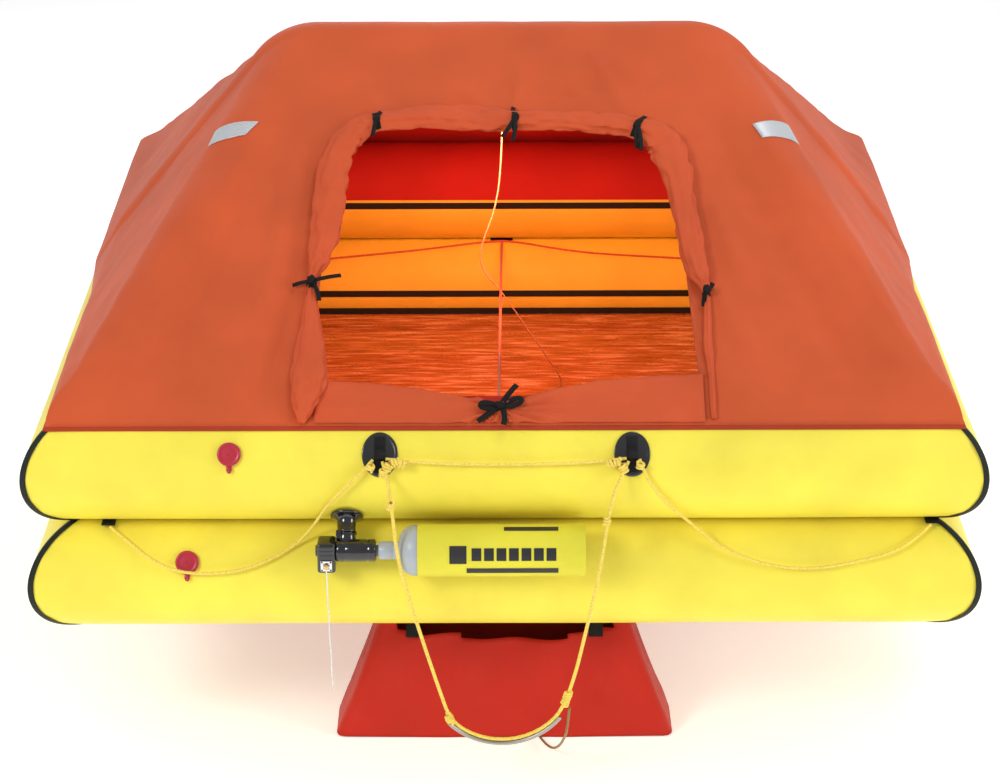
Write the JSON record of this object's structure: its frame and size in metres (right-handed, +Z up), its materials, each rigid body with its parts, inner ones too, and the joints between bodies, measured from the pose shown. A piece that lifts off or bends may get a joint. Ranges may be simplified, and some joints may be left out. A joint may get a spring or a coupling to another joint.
{
  "type": "inflated canopied liferaft",
  "caption": "Square inflated liferaft with two stacked buoyancy tubes, a tent-like canopy over one arch with a doorway, hung ballast pockets, gas bottle and lifelines.",
  "frame": {"origin": "under the middle of the raft's plan, bottle and ropes included, on the plane of the ballast pockets' bottoms", "axes": "X along the doorway side, +Y towards the back, +Z up"},
  "size_m": [2.1024, 2.1831, 1.475],
  "materials": {
    "tube_cloth": "yellow coated cloth, satin",
    "seam_tape": "black coated tape, satin",
    "floor_cloth": "coated floor cloth, satin",
    "floor_mat": "clear-faced foil insulation, glossy",
    "arch_cloth": "coated cloth, satin",
    "canopy_cloth": "orange coated cloth, matte with a soft sheen",
    "reflective_cloth": "retroreflective sheet, glossy",
    "tie_tape": "black ribbon, matte",
    "pocket_cloth": "red coated cloth, satin",
    "strap_webbing": "black webbing, matte",
    "weight_steel": "coated bar, matte",
    "bottle_paint": "grey paint, satin",
    "cover_cloth": "yellow coated cloth, satin",
    "head_plastic": "black, glossy",
    "bezel_steel": "bright",
    "pin_brass": "bright",
    "valve_plastic": "black, matte",
    "cap_rubber": "red, satin",
    "patch_vinyl": "black moulded sheet, glossy",
    "loop_webbing": "black webbing, matte",
    "rope": "yellow braided rope",
    "rope_red": "red-brown braided rope",
    "rope_olive": "olive webbing cord",
    "lamp_cord": "thin insulated cord, satin",
    "white_cord": "white braided cord",
    "step_steel": "dull steel"
  },
  "bodies": {
    "raft": {"lower_tube": "tube_cloth", "upper_tube": "tube_cloth", "lower_corner_tapes": "seam_tape", "upper_corner_tapes": "seam_tape", "lower_inner_tape": "seam_tape", "upper_inner_tape": "seam_tape", "floor": "floor_cloth", "floor_edge_tape": "seam_tape", "floor_mat": "floor_mat", "arch_tube": "arch_cloth", "canopy_front": "canopy_cloth", "canopy_right": "canopy_cloth", "canopy_back": "canopy_cloth", "canopy_left": "canopy_cloth", "reflective_patches": "reflective_cloth", "door_roll": "canopy_cloth", "door_ties": "tie_tape", "door_sill": "canopy_cloth", "ballast_pocket_front": "pocket_cloth", "ballast_pocket_right": "pocket_cloth", "ballast_pocket_back": "pocket_cloth", "ballast_pocket_left": "pocket_cloth", "pocket_straps": "strap_webbing", "pocket_weights": "weight_steel", "gas_bottle": "bottle_paint", "bottle_cover": "cover_cloth", "firing_head": "head_plastic", "inlet_valve": "head_plastic", "trigger_housing": "head_plastic", "pin_bezel": "bezel_steel", "upper_valve_seat": "valve_plastic", "lower_valve_seat": "valve_plastic", "left_fitting_patch": "patch_vinyl", "right_fitting_patch": "patch_vinyl", "left_webbing_loop": "loop_webbing", "right_webbing_loop": "loop_webbing", "lifeline_anchors": "loop_webbing", "boarding_line": "rope", "bridle_line": "rope", "left_lifeline": "rope", "right_lifeline": "rope", "inner_grab_line": "rope_red", "cross_line": "rope_red", "pocket_line": "rope_olive", "lamp_line": "lamp_cord", "boarding_step": "step_steel"},
    "upper_cap": {"upper_valve_cap": "cap_rubber"},
    "lower_cap": {"lower_valve_cap": "cap_rubber"},
    "pin": {"firing_pin": "pin_brass", "pull_cord": "white_cord"}
  },
  "joints": [
    {"name": "upper_valve_turn", "type": "hinge", "parent": "raft", "child": "upper_cap", "pos_m": [-0.596, -0.99475, 0.80034], "axis": [0, -0.887, 0.4617], "range_deg": [0, 90]},
    {"name": "lower_valve_turn", "type": "hinge", "parent": "raft", "child": "lower_cap", "pos_m": [-0.698, -0.99475, 0.54034], "axis": [0, -0.887, 0.4617], "range_deg": [0, 90]},
    {"name": "firing_pin_pull", "type": "slide", "parent": "raft", "child": "pin", "axis": [0, -1, 0], "range_m": [0, 0.012]}
  ]
}
